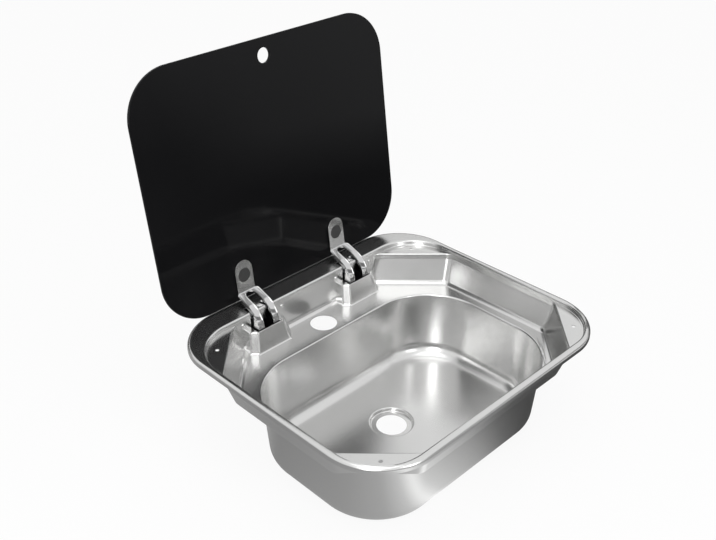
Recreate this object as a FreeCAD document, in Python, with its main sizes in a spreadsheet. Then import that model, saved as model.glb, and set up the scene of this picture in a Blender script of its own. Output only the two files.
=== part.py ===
"""Drop-in sink with a hinged glass lid.

Millimetres. +X runs along the sink's width, +Y to the hinge side, +Z up. The origin is the
centre of the four corner screw holes, on the worktop's surface, which the rim's outer lip and
the corner shelves lie on. The lid is drawn closed, flush in its recess, and then turned open.
"""
import FreeCAD
import Part
import math
import os
import Sketcher
from FreeCAD import Placement, Rotation, Vector

X_AXIS = Vector(1, 0, 0)
Y_AXIS = Vector(0, 1, 0)
Z_AXIS = Vector(0, 0, 1)

# ---------------------------------------------------------------- driving dimensions

SIZES = [
    # rim and lid recess
    ("sheet_gauge", 0.8),          # thickness of the drawn stainless sheet
    ("recess_width", 403.0),       # lid recess, left to right
    ("recess_depth", 323.4),       # lid recess, front to rear
    ("recess_corner", 62.0),       # plan radius of the recess corners
    ("side_band", 8.5),            # rim beside the recess, left and right
    ("front_band", 10.1),          # rim in front of the recess
    ("rear_band", 36.5),           # rim behind the recess, over the hinges
    ("rim_corner", 77.0),          # plan radius of the rim's outer corners
    ("rim_height", 7.5),           # rim's top above the worktop
    ("lip_roll", 4.5),             # radius of the rolled outer edge
    ("rim_edge", 3.0),             # radius where the rim turns down into the recess
    # sloped pan under the recess
    ("shelf_setback", 51.8),       # recess corner point to the shelf's inner edge, square to it
    ("crease_drop", 7.0),          # shelf's top down to the crease where the walls start to slope
    ("pan_drop", 42.6),            # shelf's top down to the ledge
    ("pan_run", 11.5),             # how far the sloped walls come in at their foot
    ("pan_corner", 16.0),          # plan radius where pan walls meet
    ("pan_foot", 8.0),             # radius between pan walls and ledge
    # bowl
    ("ledge_side", 15.5),          # foot of the pan's walls to the bowl, left and right
    ("ledge_front", 16.0),         # the same in front
    ("ledge_rear", 52.9),          # rear wall to the bowl, where the tap stands
    ("bowl_corner", 85.0),
    ("bowl_drop", 94.9),           # ledge down to the bowl's floor
    ("bowl_draft", 7.5),           # how far each bowl wall comes in at the floor
    ("bowl_edge", 2.4),            # radius of the edge between ledge and bowl
    ("bowl_foot", 20.0),           # radius between bowl walls and floor
    # drain seat, tap hole, screw holes
    ("drain_bore", 40.0),
    ("drain_seat_width", 56.0),
    ("drain_seat_drop", 4.8),
    ("drain_offset", 20.5),        # drain's centre, behind the bowl's
    ("tap_bore", 36.0),
    ("tap_setback", 26.8),         # tap hole's centre, in front of the rear wall
    ("screw_bore", 5.0),
    ("screw_side_inset", 28.35),   # recess's side to the corner screw holes
    ("screw_end_inset", 25.3),     # recess's front and rear to the corner screw holes
    # hinge boxes stamped out of the rear wall
    ("hinge_spread", 162.0),       # centre of one hinge to the other
    ("box_drop", 15.0),            # shelf's top down to the top of a box
    ("box_reach", 15.1),           # rear wall to the box's front, at its top
    ("box_foot_reach", 19.9),      # the same at its foot
    ("box_width", 56.0),           # at its top
    ("box_foot_width", 68.0),
    ("box_chamfer", 8.0),
    ("mouth_width", 39.8),         # the box's open top, and the slots through wall and rim
    ("tab_width", 11.0),           # strip of wall left standing between the slots
    ("slot_run", 14.3),            # how far the slots go back into the rim
    # pivot and lid
    ("pivot_back", 15.5),          # pivot behind the rear wall
    ("pivot_depth", 9.45),         # pivot below the worktop's surface
    ("open_angle", 97.6),          # lid's turn from closed to its stop
    ("glass_gauge", 4.0),
    ("glass_flush", 0.1),          # closed glass below the rim's top
    ("lid_side_gap", 2.5),
    ("lid_front_gap", 1.2),
    ("lid_rear_gap", 5.0),         # room for the glass's edge to swing past the rim
    ("glass_bevel", 0.8),
    ("finger_bore", 19.0),
    ("finger_setback", 21.5),      # finger hole's centre from the glass's front edge
    # hinge arms
    ("pad_gauge", 0.8),
    ("pad_margin", 1.0),           # tongue's edge outside the bond pad
    ("arm_gauge", 2.0),
    ("tongue_width", 27.0),
    ("tongue_length", 41.7),
    ("tongue_setback", 11.4),      # glass's rear edge to the bend
    ("window_bore", 19.0),
    ("window_setback", 20.2),      # window's centre from the tongue's tip
    ("window_gap", 0.3),           # bond pad's boss inside the window
    ("window_boss_rise", 1.4),     # how far the boss stands up in the window
    ("arm_width", 34.0),           # over both legs
    ("leg_width", 9.5),
    ("arm_radius", 30.0),          # outside radius of the goose-neck
    ("neck_back", 4.9),            # goose-neck's centre behind the pivot
    ("neck_rise", 2.8),            # and above it
    ("neck_end", 276.0),           # angle where the goose-neck ends, lid closed
    ("lug_span", 31.0),            # degrees of the goose-neck that each lug hangs from
    ("arch_setback", 2.6),         # bend to the top of the arch between the legs
    ("shoulder", 3.5),             # corner cut from tongue width to arm width
    ("flange_depth", 5.0),         # outer flange of each leg, web included
    ("inner_flange_depth", 4.0),
    ("flange_gauge", 1.8),
    ("eye_radius", 6.0),
    # pivot
    ("pin_width", 5.0),
    ("pin_running", 0.05),         # radial room round the pin
    ("bush_gauge", 1.0),           # wall of the bush in the eye
    ("bush_flange", 0.8),
    ("bush_flange_width", 10.0),
    ("liner_gap", 0.3),            # bush flange to liner
    ("seat_gap", 0.1),             # pieces that lie beside each other in the hinge
    ("pin_head", 1.5),
    ("pin_head_width", 8.0),
    ("clip_gauge", 0.7),
    ("clip_width", 9.0),
    ("clip_groove", 0.5),          # depth of the groove that the clip sits in
    ("clip_mouth", 3.0),
    ("pin_tail", 1.1),             # pin beyond the clip
    # liner and bracket
    ("liner_gauge", 1.3),
    ("liner_sheet_gap", 0.3),      # liner to the sheet of wall and box
    ("liner_top", 5.25),           # liner's rear rim above the pivot
    ("liner_floor", 30.55),        # liner's inside floor below the pivot
    ("liner_front_gap", 0.6),      # box's front, at its top, to the liner
    ("liner_rear_reach", 12.9),    # liner's inside rear wall behind the pivot
    ("pin_room", 0.3),             # radial room round the pin in the liner
    ("bracket_gauge", 1.5),
    ("cheek_reach", 9.0),          # bracket's cheeks behind the pivot
    ("cheek_rise", 10.35),         # above the pivot
    ("cheek_drop", 11.0),          # below the pivot
    ("ear_width", 18.5),
    ("ear_drop", 5.5),             # ear's foot below the pivot
    ("stop_reach", 11.7),          # stop web's front edge before the pivot
    ("stop_run", 8.0),
    ("stop_rise", 8.6),            # stop web's underside above the pivot
    ("rivet_spread", 64.5),        # the two rivets of one hinge
    ("rivet_rise", 4.25),          # rivets above the pivot
    ("rivet_width", 3.2),
    ("rivet_head_width", 6.0),
    ("rivet_head", 1.5),
    ("rivet_tail_width", 5.0),
    ("rivet_tail", 1.2),
    ("rivet_running", 0.05),
]

SIDES = (("left", -1), ("right", 1))

doc = FreeCAD.newDocument("sink")
sheet = doc.addObject("Spreadsheet::Sheet", "sizes")
for row, (alias, number) in enumerate(SIZES, start=1):
    sheet.set(f"A{row}", alias)
    sheet.set(f"B{row}", str(number))
    sheet.setAlias(f"B{row}", alias)
doc.recompute()


def size(alias):
    """The value of one cell of the sheet."""
    return float(sheet.get(alias))


# Places worked out from the driving dimensions, as numbers and as expressions for the sketches.
GAUGE = size("sheet_gauge")
HALF_WIDTH = size("recess_width") / 2
REAR_WALL = size("recess_depth") / 2
SHELF_TOP = GAUGE
CREASE = SHELF_TOP - size("crease_drop")
LEDGE = SHELF_TOP - size("pan_drop")
FLOOR = LEDGE - size("bowl_drop")
BOX_TOP = SHELF_TOP - size("box_drop")
BOWL_SIDE = HALF_WIDTH - size("pan_run") - size("ledge_side")
BOWL_FRONT = -REAR_WALL + size("pan_run") + size("ledge_front")
BOWL_REAR = REAR_WALL - size("ledge_rear")
DRAIN_Y = (BOWL_FRONT + BOWL_REAR) / 2 + size("drain_offset")
TAP_Y = REAR_WALL - size("tap_setback")
SCREW_X = HALF_WIDTH - size("screw_side_inset")
SCREW_Y = REAR_WALL - size("screw_end_inset")
HINGE_X = size("hinge_spread") / 2
PIVOT_Y = REAR_WALL + size("pivot_back")
PIVOT_Z = -size("pivot_depth")
RIVET_Z = PIVOT_Z + size("rivet_rise")
GLASS_UNDER = size("rim_height") - size("glass_flush") - size("glass_gauge")
GLASS_REAR = REAR_WALL - size("lid_rear_gap")
TONGUE_TOP = GLASS_UNDER - size("pad_gauge")
BEND_Y = GLASS_REAR - size("tongue_setback")
LINER_OUT = size("arm_width") / 2 + size("bush_flange") + size("liner_gap") + size("liner_gauge")
CLIP_IN = LINER_OUT + size("bracket_gauge") + 2 * size("seat_gap")

WALL_Y = "sizes.recess_depth / 2"
WALL_BACK = "(sizes.recess_depth / 2 + sizes.sheet_gauge)"
PIN_Y = "(sizes.recess_depth / 2 + sizes.pivot_back)"
PIN_Z = "(-sizes.pivot_depth)"
GLASS_Z = "(sizes.rim_height - sizes.glass_flush - sizes.glass_gauge)"
GLASS_FRONT_Y = "(-sizes.recess_depth / 2 + sizes.lid_front_gap)"
GLASS_REAR_Y = "(sizes.recess_depth / 2 - sizes.lid_rear_gap)"
TIP_Y = f"({GLASS_REAR_Y} - sizes.tongue_setback - sizes.tongue_length)"
LINER_HALF = ("(sizes.arm_width / 2 + sizes.bush_flange + sizes.liner_gap"
              " + sizes.liner_gauge)")
CHEEK_HALF = f"({LINER_HALF} + sizes.seat_gap)"
CHEEK_OUT = f"({CHEEK_HALF} + sizes.bracket_gauge)"
CLIP_SEAT = f"({CHEEK_OUT} + sizes.seat_gap)"

FLAT = 1e-4                        # what still counts as level, or as upright


# ---------------------------------------------------------------- helpers for bodies

def new_body(label):
    """An empty body that carries its piece's name."""
    body = doc.addObject("PartDesign::Body", label)
    body.Label = label
    return body


def new_sketch(body, name, role, offset=None):
    """A sketch on one of the body's own origin planes, moved along its normal."""
    sketch = body.newObject("Sketcher::SketchObject", f"{body.Name}_{name}")
    plane = next(item for item in body.Origin.OriginFeatures if item.Role == role)
    sketch.AttachmentSupport = [(plane, "")]
    sketch.MapMode = "FlatFace"
    if offset:
        sketch.setExpression("AttachmentOffset.Base.z", offset)
    return sketch


def bind(sketch, constraint, expression):
    """Add a constraint and tie its value to the sheet."""
    number = sketch.addConstraint(constraint)
    sketch.setExpression(f"Constraints[{number}]", expression)


def draw_polygon(sketch, corners):
    """A closed polygon whose corners are pairs of expressions."""
    count = len(corners)
    start = sketch.GeometryCount
    turns = [2 * math.pi * index / count for index in range(count)]
    points = [Vector(math.cos(turn), math.sin(turn), 0) for turn in turns]
    for index in range(count):
        sketch.addGeometry(Part.LineSegment(points[index], points[(index + 1) % count]), False)
    for index in range(count):
        following = start + (index + 1) % count
        sketch.addConstraint(Sketcher.Constraint("Coincident", start + index, 2, following, 1))
    for index, (along, up) in enumerate(corners):
        corner = start + index
        bind(sketch, Sketcher.Constraint("DistanceX", -1, 1, corner, 1, 1.0), along)
        bind(sketch, Sketcher.Constraint("DistanceY", -1, 1, corner, 1, 1.0), up)


def draw_rectangle(sketch, low, high):
    """A rectangle between two corners, each a pair of expressions."""
    draw_polygon(sketch, [low, (high[0], low[1]), high, (low[0], high[1])])


def draw_circle(sketch, along, up, diameter):
    """A circle whose centre and diameter are expressions."""
    number = sketch.addGeometry(Part.Circle(Vector(1, 1, 0), Z_AXIS, 1.0), False)
    bind(sketch, Sketcher.Constraint("DistanceX", -1, 1, number, 3, 1.0), along)
    bind(sketch, Sketcher.Constraint("DistanceY", -1, 1, number, 3, 1.0), up)
    bind(sketch, Sketcher.Constraint("Diameter", number, 2.0), diameter)


def pad(body, name, sketch, length, side="One side", reverse=False):
    """Extrude a sketch by an expression."""
    feature = body.newObject("PartDesign::Pad", f"{body.Name}_{name}")
    feature.Profile = sketch
    feature.setExpression("Length", length)
    feature.SideType = side
    feature.Reversed = reverse
    return feature


def pocket_through(body, name, sketch):
    """Cut a sketch right through the body, both ways."""
    feature = body.newObject("PartDesign::Pocket", f"{body.Name}_{name}")
    feature.Profile = sketch
    feature.Type = "ThroughAll"
    feature.SideType = "Symmetric"
    return feature


def pocket(body, name, sketch, length, side="Symmetric"):
    """Cut a sketch into the body by an expression."""
    feature = body.newObject("PartDesign::Pocket", f"{body.Name}_{name}")
    feature.Profile = sketch
    feature.setExpression("Length", length)
    feature.SideType = side
    return feature


def edges_where(shape, test):
    """Names of the edges whose bounding box passes a test."""
    return [f"Edge{index}" for index, edge in enumerate(shape.Edges, start=1)
            if test(edge.BoundBox)]


def upright(box):
    """True for an edge that runs along Z only."""
    return box.XLength < FLAT and box.YLength < FLAT


def dress(body, kind, name, edges, key, expression):
    """A fillet or chamfer on named edges of the body's last feature."""
    base = body.Tip
    feature = body.newObject(f"PartDesign::{kind}", f"{body.Name}_{name}")
    feature.Base = (base, edges)
    feature.setExpression(key, expression)
    return feature


# ---------------------------------------------------------------- helpers for drawn sheet

def rounded_outline(corners, radius, height):
    """A closed wire at one height: straight runs joined by tangent arcs at every corner."""
    arcs = []
    count = len(corners)
    for index, (x, y) in enumerate(corners):
        here = Vector(x, y, height)
        before = Vector(*corners[index - 1], height) - here
        after = Vector(*corners[(index + 1) % count], height) - here
        before.normalize()
        after.normalize()
        half = before.getAngle(after) / 2
        reach = radius / math.tan(half)
        inward = (before + after).normalize()
        middle = here + inward * (radius / math.sin(half) - radius)
        arcs.append((here + before * reach, middle, here + after * reach))
    edges = []
    for index, arc in enumerate(arcs):
        edges.append(Part.Arc(*arc).toShape())
        edges.append(Part.makeLine(arc[2], arcs[(index + 1) % count][0]))
    return Part.Wire(edges)


def rectangle(half_width, front, rear):
    """Corners of a rectangle, anticlockwise from front left."""
    return [(-half_width, front), (half_width, front), (half_width, rear), (-half_width, rear)]


def prism(outline, top):
    """An outline raised to a height."""
    base = outline.BoundBox.ZMin
    return Part.Face(outline).extrude(Vector(0, 0, top - base))


def taper(upper, lower):
    """A solid between two outlines with the same number of edges."""
    return Part.makeLoft([lower, upper], True, True)


def edges_at(shape, height):
    """The edges that lie flat at one height."""
    return [edge for edge in shape.Edges
            if abs(edge.BoundBox.ZMin - height) < FLAT and abs(edge.BoundBox.ZMax - height) < FLAT]


def block(low, high):
    """A box between two corners."""
    span = Vector(*high) - Vector(*low)
    return Part.makeBox(span.x, span.y, span.z, Vector(*low))


def drill(x, y, bottom, top, diameter):
    """An upright cylinder to cut a round hole with."""
    return Part.makeCylinder(diameter / 2, top - bottom, Vector(x, y, bottom))


# ---------------------------------------------------------------- sink shell

def pan_corners(grow, inset):
    """The pan's eight-sided outline: the recess with its corners cut off by the shelves.

    grow moves every side out, and inset moves all but the rear wall in.
    """
    side = HALF_WIDTH + grow - inset
    front = -REAR_WALL - grow + inset
    rear = REAR_WALL + grow
    shelf_line = HALF_WIDTH + REAR_WALL - size("shelf_setback") * math.sqrt(2)
    cut = shelf_line + (grow - inset) * math.sqrt(2)
    return [
        (-(cut + front), front), (cut + front, front),
        (side, -(cut - side)), (side, cut - side),
        (cut - rear, rear), (-(cut - rear), rear),
        (-side, cut - side), (-side, -(cut - side)),
    ]


def bowl_corners(grow, inset):
    """The bowl's rectangle, grown or drawn in on every side."""
    out = grow - inset
    return rectangle(BOWL_SIDE + out, BOWL_FRONT - out, BOWL_REAR + out)


def bowl_brim(shape, height):
    """The level edges where the bowl opens into the ledge, told from the pan's own foot."""
    (left, front), _, (right, rear), _ = bowl_corners(2 * GAUGE, 0)
    return [edge for edge in edges_at(shape, height)
            if left < edge.BoundBox.XMin and edge.BoundBox.XMax < right
            and front < edge.BoundBox.YMin and edge.BoundBox.YMax < rear]


def tub(grow):
    """The room inside the sink, or with grow of one gauge the same with its sheet."""
    recess = rounded_outline(
        rectangle(HALF_WIDTH + grow, -REAR_WALL - grow, REAR_WALL + grow),
        size("recess_corner") + grow, SHELF_TOP - grow)
    shape = prism(recess, size("rim_height"))

    corner = size("pan_corner")
    steep = rounded_outline(pan_corners(grow, 0), corner + grow, CREASE)
    shape = shape.fuse(prism(steep, SHELF_TOP))
    foot = rounded_outline(pan_corners(grow, size("pan_run")), corner + grow, LEDGE - grow)
    pan = taper(steep, foot)
    pan = pan.makeFillet(size("pan_foot") + grow, edges_at(pan, LEDGE - grow))
    shape = shape.fuse(pan)

    draft = size("bowl_draft")
    mouth = rounded_outline(bowl_corners(grow, 0), size("bowl_corner") + grow, LEDGE)
    floor = rounded_outline(bowl_corners(grow, draft), size("bowl_corner") + grow - draft,
                            FLOOR - grow)
    bowl = taper(mouth, floor)
    bowl = bowl.makeFillet(size("bowl_foot") + grow, edges_at(bowl, FLOOR - grow))
    shape = shape.fuse(bowl)
    shape = shape.makeFillet(size("bowl_edge") - grow, bowl_brim(shape, LEDGE - grow))

    seat = drill(0, DRAIN_Y, FLOOR - size("drain_seat_drop") - grow, FLOOR,
                 size("drain_seat_width") + 2 * grow)
    return shape.fuse(seat)


def box_outline(half_width, reach, chamfer, height, shrink):
    """Plan of a hinge box, open to the rear: two chamfered front corners."""
    side = half_width - shrink
    front = REAR_WALL - reach + shrink
    rear = REAR_WALL + 2 * GAUGE
    return Part.makePolygon([
        Vector(side, rear, height), Vector(-side, rear, height),
        Vector(-side, front + chamfer, height), Vector(-side + chamfer, front, height),
        Vector(side - chamfer, front, height), Vector(side, front + chamfer, height),
        Vector(side, rear, height),
    ])


def hinge_box(centre, shrink):
    """One hinge box as a block, or shrunk by one gauge as the hollow behind it."""
    rise = size("pan_drop") - size("box_drop")
    overshoot = size("pan_foot")
    spread = (rise + overshoot) / rise
    top_half = size("box_width") / 2
    foot_half = top_half + (size("box_foot_width") / 2 - top_half) * spread
    foot_reach = size("box_reach") + (size("box_foot_reach") - size("box_reach")) * spread
    chamfer = size("box_chamfer")
    upper = box_outline(top_half, size("box_reach"), chamfer, BOX_TOP - shrink, shrink)
    lower = box_outline(foot_half, foot_reach, chamfer, LEDGE - overshoot, shrink)
    return taper(upper, lower).translated(Vector(centre, 0, 0))


def rolled_rim():
    """The rim's sheet: flat on top, rolled down to the worktop at its outer edge."""
    half_width = HALF_WIDTH + size("side_band")
    front = -REAR_WALL - size("front_band")
    rear = REAR_WALL + size("rear_band")
    skins = []
    for grow in (0, -GAUGE):
        outline = rounded_outline(rectangle(half_width + grow, front - grow, rear + grow),
                                  size("rim_corner") + grow, 0)
        top = size("rim_height") + grow
        solid = prism(outline, top)
        skins.append(solid.makeFillet(size("lip_roll") + grow, edges_at(solid, top)))
    return skins[0].cut(skins[1])


def rim_loop(shape, grow, height):
    """The recess outline's edges at one height, told from the roll's."""
    half_width = HALF_WIDTH + grow + FLAT
    half_depth = REAR_WALL + grow + FLAT
    return [edge for edge in edges_at(shape, height)
            if edge.BoundBox.XMax < half_width and edge.BoundBox.XMin > -half_width
            and edge.BoundBox.YMax < half_depth and edge.BoundBox.YMin > -half_depth]


def round_rim_edge(shape):
    """Rounds the bend from the rim's top down into the recess, on both faces of the sheet."""
    radius = size("rim_edge")
    top = size("rim_height")
    shape = shape.makeFillet(radius - GAUGE, rim_loop(shape, GAUGE, top - GAUGE))
    return shape.makeFillet(radius, rim_loop(shape, 0, top))


def hinge_openings(centre):
    """The two slots through rear wall and rim, and the open top of the hinge box."""
    mouth_half = size("mouth_width") / 2
    tab_half = size("tab_width") / 2
    slot_end = REAR_WALL + size("slot_run")
    lip_back = REAR_WALL - size("box_reach") + GAUGE
    cutters = []
    for side in (-1, 1):
        inner, outer = sorted((side * tab_half, side * mouth_half))
        cutters.append(block((centre + inner, REAR_WALL - GAUGE, BOX_TOP - 2 * GAUGE),
                             (centre + outer, slot_end, size("rim_height") + GAUGE)))
    cutters.append(block((centre - mouth_half, lip_back, BOX_TOP - 2 * GAUGE),
                         (centre + mouth_half, REAR_WALL + 2 * GAUGE, BOX_TOP + GAUGE / 2)))
    return cutters


def sink_shell():
    """The whole drawn sheet, pierced for tap, drain, screws, hinges and rivets."""
    room = tub(0)
    skin = tub(GAUGE)
    for _, side in SIDES:
        room = room.cut(hinge_box(side * HINGE_X, 0))
        skin = skin.cut(hinge_box(side * HINGE_X, GAUGE))
    shell = round_rim_edge(rolled_rim().fuse(skin).cut(room))

    cutters = [
        drill(0, DRAIN_Y, FLOOR - 4 * size("drain_seat_drop"), FLOOR, size("drain_bore")),
        drill(0, TAP_Y, LEDGE - 2 * GAUGE, LEDGE + GAUGE, size("tap_bore")),
    ]
    for x in (-SCREW_X, SCREW_X):
        for y in (-SCREW_Y, SCREW_Y):
            cutters.append(drill(x, y, -GAUGE, SHELF_TOP + GAUGE, size("screw_bore")))
    for _, side in SIDES:
        cutters += hinge_openings(side * HINGE_X)
        for x in rivet_places(side):
            hole = Part.makeCylinder(size("rivet_width") / 2 + size("rivet_running"), 4 * GAUGE,
                                     Vector(x, REAR_WALL - GAUGE, RIVET_Z), Y_AXIS)
            cutters.append(hole)
    return shell.cut(cutters)


def rivet_places(side):
    """The two rivets' X positions on one hinge."""
    centre = side * HINGE_X
    half = size("rivet_spread") / 2
    return (centre - half, centre + half)


shell = doc.addObject("Part::Feature", "sink_shell")
shell.Label = "sink_shell"
shell.Shape = sink_shell()


# ---------------------------------------------------------------- glass lid

def open_placement(x=0.0):
    """Turns a piece of the lid, drawn closed, about the pivot to its open stop."""
    turn = Placement(Vector(0, 0, 0), Rotation(X_AXIS, -size("open_angle")),
                     Vector(0, PIVOT_Y, PIVOT_Z))
    return turn.multiply(Placement(Vector(x, 0, 0), Rotation()))


def glass_lid():
    """A bevelled sheet of glass, a named gap inside the recess, with its finger hole."""
    body = new_body("glass_lid")
    half = "(sizes.recess_width / 2 - sizes.lid_side_gap)"
    plan = new_sketch(body, "plan", "XY_Plane", GLASS_Z)
    draw_rectangle(plan, (f"-{half}", GLASS_FRONT_Y), (half, GLASS_REAR_Y))
    pad(body, "sheet", plan, "sizes.glass_gauge")
    doc.recompute()
    dress(body, "Fillet", "corners", edges_where(body.Shape, upright), "Radius",
          "sizes.recess_corner - sizes.lid_side_gap")
    hole = new_sketch(body, "finger", "XY_Plane", GLASS_Z)
    draw_circle(hole, "0", f"{GLASS_FRONT_Y} + sizes.finger_setback", "sizes.finger_bore")
    pocket_through(body, "finger_hole", hole)
    doc.recompute()
    flat = edges_where(body.Shape, lambda box: box.ZLength < FLAT)
    dress(body, "Chamfer", "bevel", flat, "Size", "sizes.glass_bevel")
    body.Placement = open_placement()
    return body


glass_lid()


# ---------------------------------------------------------------- hinge arms

def on_circle(centre, radius, degrees):
    """A point of a circle in the hinge's side view."""
    angle = math.radians(degrees)
    return centre + Vector(0, math.cos(angle), math.sin(angle)) * radius


class Neck:
    """Side view of the closed arm: tongue, bend, straight leg and goose-neck arc."""

    def __init__(self):
        self.pivot = Vector(0, PIVOT_Y, PIVOT_Z)
        self.centre = self.pivot + Vector(0, size("neck_back"), size("neck_rise"))
        self.radius = size("arm_radius")
        self.bend = Vector(0, BEND_Y, TONGUE_TOP - size("arm_gauge"))
        reach = self.bend - self.centre
        bearing = math.degrees(math.atan2(reach.z, reach.y))
        self.start = bearing + math.degrees(math.acos(self.radius / reach.Length))
        self.end = size("neck_end")
        self.outward = on_circle(Vector(0, 0, 0), 1.0, self.start)
        self.down = (on_circle(self.centre, self.radius, self.start) - self.bend).normalize()

    def arc(self, radius):
        """The goose-neck's arc at one radius, as its start, middle and end."""
        angles = (self.start, (self.start + self.end) / 2, self.end)
        return [on_circle(self.centre, radius, angle) for angle in angles]

    def band(self, depth, along):
        """Face between the outer skin and one a depth inside it, from a place on the leg."""
        outer = self.arc(self.radius)
        inner = self.arc(self.radius - depth)
        top_outer = self.bend + self.down * along
        top_inner = top_outer - self.outward * depth
        edges = [
            Part.makeLine(top_outer, outer[0]),
            Part.Arc(*outer).toShape(),
            Part.makeLine(outer[2], inner[2]),
            Part.Arc(*reversed(inner)).toShape(),
            Part.makeLine(inner[0], top_inner),
            Part.makeLine(top_inner, top_outer),
        ]
        return Part.Face(Part.Wire(edges))


def slab(face, low, high):
    """A face of the side view, extruded between two X positions."""
    return face.translated(Vector(low, 0, 0)).extrude(Vector(high - low, 0, 0))


def both_sides(face, inner, outer):
    """The same slab on the left and on the right of the hinge."""
    return [slab(face, -outer, -inner), slab(face, inner, outer)]


def tongue_outline(width, length, height):
    """Plan of the tongue: square at the bend, round at its tip."""
    half = width / 2
    tip = BEND_Y - length
    edges = [
        Part.makeLine(Vector(half, BEND_Y, height), Vector(half, tip + half, height)),
        Part.Arc(Vector(half, tip + half, height), Vector(0, tip, height),
                 Vector(-half, tip + half, height)).toShape(),
        Part.makeLine(Vector(-half, tip + half, height), Vector(-half, BEND_Y, height)),
        Part.makeLine(Vector(-half, BEND_Y, height), Vector(half, BEND_Y, height)),
    ]
    return Part.Wire(edges)


def arm_shape():
    """The arm, closed, at the origin's X: tongue, web, flanges, lugs and eyes in one piece."""
    neck = Neck()
    gauge = size("arm_gauge")
    half = size("arm_width") / 2
    tongue = Part.Face(tongue_outline(size("tongue_width"), size("tongue_length"),
                                      TONGUE_TOP - gauge)).extrude(Vector(0, 0, gauge))
    window = drill(0, BEND_Y - size("tongue_length") + size("window_setback"),
                   TONGUE_TOP - 2 * gauge, TONGUE_TOP + gauge, size("window_bore"))

    # Fills the bend on its hidden side, between the tongue's end and the leg's top.
    leg_back = neck.bend - neck.outward * gauge
    run = (TONGUE_TOP - leg_back.z) / neck.down.z
    heel = leg_back + neck.down * run
    wedge = Part.Face(Part.makePolygon([neck.bend, Vector(0, BEND_Y, TONGUE_TOP), heel, leg_back,
                                        neck.bend]))
    tongue_half = size("tongue_width") / 2
    solid = tongue.fuse(slab(wedge, -tongue_half, tongue_half))

    web = slab(neck.band(gauge, 0), -half, half)
    arch_radius = half - size("leg_width")
    arch_centre = neck.bend + neck.down * (size("arch_setback") + arch_radius)
    through = neck.outward * (2 * half)
    arch = Part.makeCylinder(arch_radius, 2 * through.Length, arch_centre - through, neck.outward)
    far = neck.down * (4 * half)
    gap = Part.Face(Part.makePolygon([
        arch_centre - through, arch_centre + through, arch_centre + through + far,
        arch_centre - through + far, arch_centre - through]))
    web = web.cut([arch, slab(gap, -arch_radius, arch_radius)])
    for side in (-1, 1):
        tip = neck.bend + Vector(side * tongue_half, 0, 0)
        edge = neck.bend + Vector(side * half, 0, 0)
        low = edge + neck.down * size("shoulder")
        corner = Part.Face(Part.makePolygon([tip - through, edge - through, low - through,
                                             tip - through]))
        web = web.cut(corner.extrude(through * 2))
    solid = solid.fuse(web)

    # Outer flanges run into the lugs that carry the eyes; inner flanges stiffen the legs.
    flange = size("flange_gauge")
    start = size("shoulder") + gauge
    outer_band = neck.band(size("flange_depth"), start)
    inner_band = neck.band(size("inner_flange_depth"), start + arch_radius)
    lug = Part.Face(Part.makePolygon([
        neck.pivot + Vector(0, -size("eye_radius"), 0),
        on_circle(neck.centre, neck.radius - gauge, size("neck_end") - size("lug_span")),
        on_circle(neck.centre, neck.radius - gauge, size("neck_end")),
        neck.pivot + Vector(0, size("eye_radius"), 0),
        neck.pivot + Vector(0, -size("eye_radius"), 0)]))
    eye = Part.Face(Part.Wire(Part.makeCircle(size("eye_radius"), neck.pivot, X_AXIS)))
    leg_inner = half - size("leg_width")
    pieces = []
    for face in (outer_band, lug, eye):
        pieces += both_sides(face, half - flange, half)
    pieces += both_sides(inner_band, leg_inner, leg_inner + flange)
    solid = solid.fuse(pieces)

    bore = Part.makeCylinder(size("pin_width") / 2 + size("pin_running") + size("bush_gauge"),
                             4 * half, neck.pivot - X_AXIS * 2 * half, X_AXIS)
    return solid.cut([window, bore]).removeSplitter()


def hinge_arm(label, side):
    """A pressed arm, in its open place."""
    arm = doc.addObject("Part::Feature", label)
    arm.Label = label
    arm.Shape = arm_shape()
    arm.Placement = open_placement(side * HINGE_X)
    return arm


def bond_pad(label, side):
    """The pad between tongue and glass, with a boss that fills the tongue's window."""
    body = new_body(label)
    under = f"{GLASS_Z} - sizes.pad_gauge"
    half = "(sizes.tongue_width / 2 - sizes.pad_margin)"
    round_centre = f"({TIP_Y} + sizes.tongue_width / 2)"
    plan = new_sketch(body, "plan", "XY_Plane", under)
    draw_rectangle(plan, (f"-{half}", round_centre),
                   (half, f"{GLASS_REAR_Y} - sizes.tongue_setback - sizes.pad_margin"))
    pad(body, "sheet", plan, "sizes.pad_gauge")
    tip = new_sketch(body, "tip", "XY_Plane", under)
    draw_circle(tip, "0", round_centre, f"2 * {half}")
    pad(body, "round_tip", tip, "sizes.pad_gauge")
    boss = new_sketch(body, "boss", "XY_Plane", under)
    draw_circle(boss, "0", f"{TIP_Y} + sizes.window_setback",
                "sizes.window_bore - 2 * sizes.window_gap")
    pad(body, "window_boss", boss, "sizes.window_boss_rise", reverse=True)
    body.Placement = open_placement(side * HINGE_X)
    return body


# ---------------------------------------------------------------- pocket liner and bracket

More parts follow.
